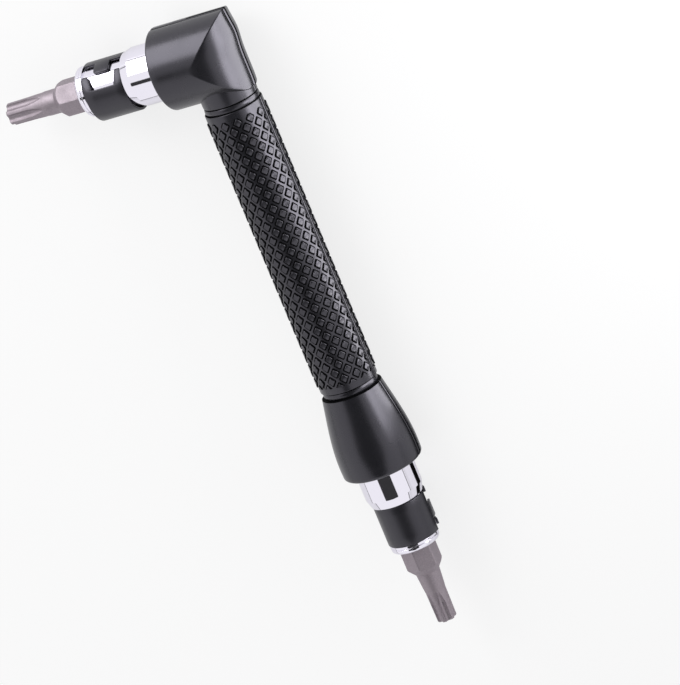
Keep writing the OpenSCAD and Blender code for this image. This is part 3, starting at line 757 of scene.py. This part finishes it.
def band(b, outer_d):
    """The outside of a snap band, cut open along its length, as surfaces of turns and widths that share their
    edges: the long way around, the tongue with its rounded corners on one side of the opening, and the two
    horns of the fork on the other."""
    radius, half = outer_d / 2, b.length / 2
    tongue, floor, mouth = b.tongue_w / 2, b.notch_floor_w / 2, b.notch_mouth_w / 2
    root, tip = math.asin(b.gap_half / radius), math.asin(b.tongue_stop / radius)
    run = np.linspace(0, 1, 25)[:, None]
    long_way = np.linspace(root, 2 * math.pi - root, 121)[:, None]
    out = root + (tip - root) * run
    fork = -root * (1 - run)
    drawn = eased(-fork * radius, b.fork_round)
    horn = np.concatenate([floor + (mouth - floor) * run + drawn, half - drawn], 1)
    surfaces = [
        (long_way, np.array([[-half, -floor, -tongue, 0, tongue, floor, half]])),
        (out, (tongue - eased((out - tip) * radius, b.corner)) * np.array([[-1, 0, 1]])),
        (fork, horn),
        (fork, -horn),
    ]
    return [np.stack([radius * np.cos(t) + 0 * w, radius * np.sin(t) + 0 * w, w + 0 * t + b.play + half], -1)
            for t, w in surfaces]


def outward(mesh, axis, along):
    """Turns the faces of an open sheet around an axis so that they look away from it."""
    count = len(mesh.polygons)
    centre, normal = np.zeros(3 * count), np.zeros(3 * count)
    mesh.polygons.foreach_get("center", centre)
    mesh.polygons.foreach_get("normal", normal)
    arm = centre.reshape(-1, 3) - axis
    arm = arm - (arm @ along)[:, None] * along
    if (arm * normal.reshape(-1, 3)).sum() < 0:
        mesh.flip_normals()


class DRIVER_OT_bands(bpy.types.Operator):
    """Build the snap bands"""

    bl_idname = "driver.bands"
    bl_label = "Snap bands"

    def execute(self, context):
        b, h = context.scene.driver_band, context.scene.driver_holder
        rows = (("head_band", on_head, b.head_turn, b.head_d, -b.head_lean),
                ("tail_band", on_tail, b.tail_turn, b.tail_d, b.tail_lean))
        for node, place, turn, outer_d, lean in rows:
            cos, sin = math.cos(turn), math.sin(turn)
            turned = np.array([[cos, sin, 0], [-sin, cos, 0], [0, 0, 1]])
            parts = [patch(place((points + [lean, 0, h.stem_len]) @ turned), "acetal_satin")
                     for points in band(b, outer_d)]
            piece = build("dressed_" + node, parts, node, node, crease=30)
            axis = place(np.zeros(3))
            outward(piece.data, axis, place(np.array([0, 0, 1])) - axis)
            wall = piece.modifiers.new("wall", "SOLIDIFY")
            wall.thickness, wall.offset = b.thickness, -1
            bevel = piece.modifiers.new("edges", "BEVEL")
            bevel.width, bevel.segments, bevel.angle_limit = b.edge, 2, math.radians(50)
        return {"FINISHED"}


# Rings of a bit lie close together where its cone leaves the hexagon, between these distances from the end of
# the hexagon, and those of the shaft start after them
CONE_RINGS_START, CONE_RINGS_END, SHAFT_RINGS_START = -0.5 * MM, 1.9 * MM, 2 * MM


def insert_bit(b, first, star_d, star_len, star_turn):
    """An insert bit as one surface around its axis. At each height the distance from the axis is the smaller
    of hexagon and cone, or the shaft where that is larger, with six round flutes cut into the star that run
    out towards the shaft. The edges of the flutes are rounded by a smooth minimum."""
    turns = full_turn(288)
    root, bevel = b.length - star_len, b.length - b.tip_bevel
    z = np.unique(np.concatenate([
        np.linspace(0, b.back_chamfer, 5), [b.hex_len / 2],
        b.hex_len + np.linspace(CONE_RINGS_START, CONE_RINGS_END, 49),
        np.linspace(b.hex_len + SHAFT_RINGS_START, root, 20), np.linspace(root, bevel, 64),
        np.linspace(bevel, b.length, 5)]))[:, None]
    sides = np.cos(turns - first - math.pi / 6 - np.arange(6)[:, None] * math.pi / 3)
    flats = b.hex_af / 2 / (np.maximum(sides, 0) ** b.hex_power).sum(0) ** (1 / b.hex_power)
    full, shaft_r, star_r = b.hex_af / 2 / math.cos(math.pi / 6), b.shaft_d / 2, star_d / 2
    cone_end = b.hex_len + b.cone_len
    cone = np.interp(z, [0, b.back_chamfer, b.hex_len, cone_end + b.cone_len],
                     [full - b.back_chamfer, full, full, 2 * shaft_r - full])
    root_r = star_r + b.draft / 2
    shaft = np.interp(z, [0, cone_end, root - b.shoulder, root, bevel, b.length],
                      [shaft_r, shaft_r, root_r + b.shaft_step / 2, root_r, star_r, star_r - b.tip_bevel])
    shaft = np.where(z < b.hex_len - b.cone_len, 0, shaft)
    body = np.maximum(np.minimum(flats, cone), shaft)
    flute = star_d * b.flute_share
    centre = star_d * b.core_share / 2 + flute
    run_out = np.clip((z - root) / (star_len * (1 - b.even_share)), 0, 1)
    swing = (turns - first - star_turn) % (math.pi / 3) - math.pi / 6
    inside = np.maximum(flute ** 2 * run_out - (centre * np.sin(swing)) ** 2, 0)
    floor = np.where(inside > 0, centre * np.cos(swing) - np.sqrt(inside), 1)
    mix = np.clip(0.5 + 0.5 * (floor - body) / b.flute_edge, 0, 1)
    r = floor * (1 - mix) + body * mix - b.flute_edge * mix * (1 - mix)
    r = np.where(z < root, body, r)
    rings = np.stack([r * np.cos(turns), r * np.sin(turns), z + 0 * turns], -1)
    pole = np.zeros((1, turns.size, 3))
    return np.concatenate([pole, rings, pole + [0, 0, b.length]])


class DRIVER_OT_bits(bpy.types.Operator):
    """Build the two insert bits"""

    bl_idname = "driver.bits"
    bl_label = "Insert bits"

    def execute(self, context):
        b, h = context.scene.driver_bit, context.scene.driver_holder
        seat = h.stem_len + h.groove_len + h.ring_len - h.socket_depth
        rows = (("head_bit", on_head, math.pi / 6, b.head_star_d, b.head_star_len, b.head_star_turn),
                ("tail_bit", on_tail, 0, b.tail_star_d, b.tail_star_len, 0))
        for node, place, *values in rows:
            skin = patch(place(insert_bit(b, *values) + [0, 0, seat]), "tumbled_tool_steel", True)
            build("dressed_" + node, [skin], node, node, crease=28)
        return {"FINISHED"}


class DRIVER_OT_inner(bpy.types.Operator):
    """Finish the pieces inside: rod, pins, magnets and clips"""

    bl_idname = "driver.inner"
    bl_label = "Inner pieces"

    def execute(self, context):
        finishes = {
            "core_rod": "drawn_steel", "head_pin": "drawn_steel", "tail_pin": "drawn_steel",
            "head_magnet": "nickel_plate", "tail_magnet": "nickel_plate",
            "head_clip": "blued_spring_steel", "tail_clip": "blued_spring_steel",
        }
        for node, name in finishes.items():
            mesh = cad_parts[node].data
            mesh.materials.clear()
            mesh.materials.append(finish(name))
        return {"FINISHED"}


# Soft boxes by name: place, aim, width, height, brightness where 1 is white, and spread
SOFT_BOXES = {
    # Stands low behind the handle
    "box_rear": ((0.034, -0.17, 0.041), (0.045, -0.02, 0.014), 0.11, 0.077, 2.7, 2.1),
    # Looks down over the head
    "box_head": ((0.42, 0.20, 0.25), (0.02, -0.005, 0.008), 0.30, 0.44, 3.7, math.pi),
    # Lies beside the handle and looks up
    "panel_low": ((0.027, -0.102, 0.001), (0.027, -0.102, 1.0), 0.095, 0.138, 4.6, math.pi),
}
# Ranges of the floor and of the card of painted shade along X and Y, and their heights
FLOOR_RANGES = (-3.0, 3.0), (-3.0, 3.0), 0.0
SHADE_CARD_RANGES = (-0.05, 0.075), (-0.034, -0.0262), 0.0004
# How much of the floor is plain white to the eye, and in reflections
FLOOR_SEEN_SHARE, FLOOR_MIRRORED_SHARE = 0.75, 0.35
# Light of the room on matt surfaces, where 1 is white
ROOM_LEVEL = 0.62
# Unlit parts of the room overhead: their middles as directions along X and Y, their reach, the width of their
# edge and their brightness
UNLIT_MIDDLES = (-0.11, -0.08), (0.40, -0.30)
UNLIT_REACH, UNLIT_EDGE, UNLIT_LEVEL = 0.6, 0.02, 0.04
# A darker line low around the room: its height, half its width and its brightness
SKIRTING_HEIGHT, SKIRTING_HALF, SKIRTING_LEVEL = 0.06, 0.03, 0.3


class DRIVER_OT_stage(bpy.types.Operator):
    """Set up the floor, the light and the camera"""

    bl_idname = "driver.stage"
    bl_label = "Stage"

    def execute(self, context):
        scene = context.scene
        scene.view_settings.view_transform = "Standard"
        self.floor(scene)
        self.card(scene)
        self.room(scene)
        for name, values in SOFT_BOXES.items():
            self.soft_box(scene, name, *values)
        self.camera(scene)
        return {"FINISHED"}

    def sheet(self, scene, name, ranges, material):
        """A flat sheet over ranges along X and Y at a height, which is part of the stage."""
        (x0, x1), (y0, y1), z = ranges
        mesh = bpy.data.meshes.new(name)
        mesh.from_pydata([(x0, y0, z), (x1, y0, z), (x1, y1, z), (x0, y1, z)], [], [(0, 1, 2, 3)])
        mesh.materials.append(material)
        sheet = bpy.data.objects.new(name, mesh)
        scene.collection.objects.link(sheet)
        return sheet

    def floor(self, scene):
        """A pale floor that shows the shadow of the tool softly: part of it is lit, and part is white to the
        eye."""
        material, tree = new_material("pale_paper")
        paper = add(tree, "ShaderNodeBsdfDiffuse", {"Color": linear(scene.driver_stage.floor)})
        white = add(tree, "ShaderNodeEmission", {"Color": (1, 1, 1, 1), "Strength": 1.0})
        seen, glossy = self.rays(tree)
        mirrored = add(tree, "ShaderNodeMath", {0: glossy, 1: FLOOR_MIRRORED_SHARE}, operation="MULTIPLY")
        part = add(tree, "ShaderNodeMath", {0: seen, 1: FLOOR_SEEN_SHARE, 2: mirrored.outputs[0]},
                   operation="MULTIPLY_ADD")
        both = add(tree, "ShaderNodeMixShader", {
            0: part.outputs[0], 1: paper.outputs[0], 2: white.outputs[0]})
        add(tree, "ShaderNodeOutputMaterial", {"Surface": both.outputs[0]})
        self.sheet(scene, "floor", FLOOR_RANGES, material)

    def card(self, scene):
        """A black card on the floor behind the tool, seen only in reflections: painted shade, a dark edge
        along the rear.
        """
        material, tree = new_material("painted_shade_card")
        black = add(tree, "ShaderNodeBsdfDiffuse", {"Color": linear(scene.driver_stage.card)})
        add(tree, "ShaderNodeOutputMaterial", {"Surface": black.outputs[0]})
        card = self.sheet(scene, "painted_shade_card_low", SHADE_CARD_RANGES, material)
        card.visible_camera = card.visible_diffuse = card.visible_shadow = False

    def rays(self, tree):
        """Whether a ray comes straight or through glass from the eye, and whether it comes from a
        reflection."""
        path = add(tree, "ShaderNodeLightPath")
        straight = add(tree, "ShaderNodeMath", {
            0: path.outputs["Is Camera Ray"], 1: path.outputs["Is Transmission Ray"]}, operation="MAXIMUM")
        return straight.outputs[0], path.outputs["Is Glossy Ray"]

    def room(self, scene):
        """A room that is white to the eye, white with its unlit parts in reflections, and dimmer as light."""
        world = bpy.data.worlds.new("studio")
        scene.world = world
        world.use_nodes = True
        tree = world.node_tree
        tree.nodes.clear()
        place = add(tree, "ShaderNodeTexCoord")
        way = add(tree, "ShaderNodeSeparateXYZ", {0: place.outputs["Generated"]})
        off = [self.steps_from(tree, way, middle) for middle in UNLIT_MIDDLES]
        nearest = add(tree, "ShaderNodeMath", {0: off[0], 1: off[1]}, operation="MINIMUM")
        overhead = add(tree, "ShaderNodeMapRange", {
            "Value": nearest.outputs[0], "From Min": UNLIT_REACH, "From Max": UNLIT_REACH + UNLIT_EDGE,
            "To Min": UNLIT_LEVEL, "To Max": 1.0})
        low = add(tree, "ShaderNodeMath", {0: way.outputs["Z"], 1: SKIRTING_HEIGHT, 2: SKIRTING_HALF},
                  operation="COMPARE")
        walls = add(tree, "ShaderNodeMix", {
            "Factor": low.outputs[0], "A": overhead.outputs["Result"], "B": SKIRTING_LEVEL},
            data_type="FLOAT")
        seen, glossy = self.rays(tree)
        level = add(tree, "ShaderNodeMix", {
            "Factor": glossy, "A": ROOM_LEVEL, "B": walls.outputs["Result"]}, data_type="FLOAT")
        level = add(tree, "ShaderNodeMix", {
            "Factor": seen, "A": level.outputs["Result"], "B": 1.0}, data_type="FLOAT")
        light = add(tree, "ShaderNodeBackground", {
            "Color": (1, 1, 1, 1), "Strength": level.outputs["Result"]})
        add(tree, "ShaderNodeOutputWorld", {"Surface": light.outputs[0]})

    def steps_from(self, tree, way, middle):
        """How far a direction lies from a middle, as its steps along X and along Y added up."""
        steps = []
        for axis, at in zip("XY", middle):
            step = add(tree, "ShaderNodeMath", {0: way.outputs[axis], 1: at}, operation="SUBTRACT")
            steps.append(add(tree, "ShaderNodeMath", {0: step.outputs[0]}, operation="ABSOLUTE").outputs[0])
        return add(tree, "ShaderNodeMath", {0: steps[0], 1: steps[1]}, operation="ADD").outputs[0]

    def soft_box(self, scene, name, place, aim, wide, high, level, spread):
        """A rectangle of even light that faces a point, with its brightness as a level where 1 is white."""
        lamp = bpy.data.lights.new(name, "AREA")
        lamp.shape, lamp.size, lamp.size_y = "RECTANGLE", wide, high
        lamp.energy, lamp.spread = level * math.pi * wide * high, spread
        box = bpy.data.objects.new(name, lamp)
        box.location = place
        box.rotation_euler = (Vector(aim) - Vector(place)).to_track_quat("-Z", "Y").to_euler()
        box.visible_camera = False
        scene.collection.objects.link(box)

    def camera(self, scene):
        """The viewpoint of the photograph, worked out from the outline of the tool."""
        s = scene.driver_stage
        data = bpy.data.cameras.new("eye")
        data.sensor_fit, data.sensor_width, data.lens = "HORIZONTAL", 36.0, s.focal
        data.clip_start, data.clip_end = 0.05, 20.0
        eye = bpy.data.objects.new("eye", data)
        elbow = Vector((HEAD_X, HEAD_FACE_Y - scene.driver_handle.head_reach, MID_Z))
        eye.location, eye.rotation_euler = elbow + Vector(s.eye), s.turn
        scene.collection.objects.link(eye)
        scene.camera = eye


class DRIVER_PT_panel(bpy.types.Panel):
    """Lists the steps that build the tool"""

    bl_idname = "DRIVER_PT_panel"
    bl_label = "Offset screwdriver"
    bl_space_type = "VIEW_3D"
    bl_region_type = "UI"
    bl_category = "Screwdriver"

    def draw(self, context):
        for step in STEPS:
            self.layout.operator(step.bl_idname)


GROUPS = {"driver_handle": HandleSizes, "driver_holder": HolderSizes, "driver_band": BandSizes,
          "driver_bit": BitSizes, "driver_finish": FinishSettings, "driver_stage": StageSettings}
STEPS = (DRIVER_OT_stage, DRIVER_OT_shells, DRIVER_OT_hoops, DRIVER_OT_holders, DRIVER_OT_bands,
         DRIVER_OT_bits, DRIVER_OT_inner)


def register():
    """Registers the settings, the steps and the panel."""
    for kind in (*GROUPS.values(), *STEPS, DRIVER_PT_panel):
        bpy.utils.register_class(kind)
    for name, kind in GROUPS.items():
        setattr(bpy.types.Scene, name, PointerProperty(type=kind))


def unregister():
    """Takes them out again."""
    for name in GROUPS:
        delattr(bpy.types.Scene, name)
    for kind in (DRIVER_PT_panel, *reversed(STEPS), *reversed(GROUPS.values())):
        bpy.utils.unregister_class(kind)


def main():
    """Registers the classes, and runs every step."""
    register()
    bpy.ops.driver.stage()
    bpy.ops.driver.shells()
    bpy.ops.driver.hoops()
    bpy.ops.driver.holders()
    bpy.ops.driver.bands()
    bpy.ops.driver.bits()
    bpy.ops.driver.inner()


if __name__ == "__main__":
    main()
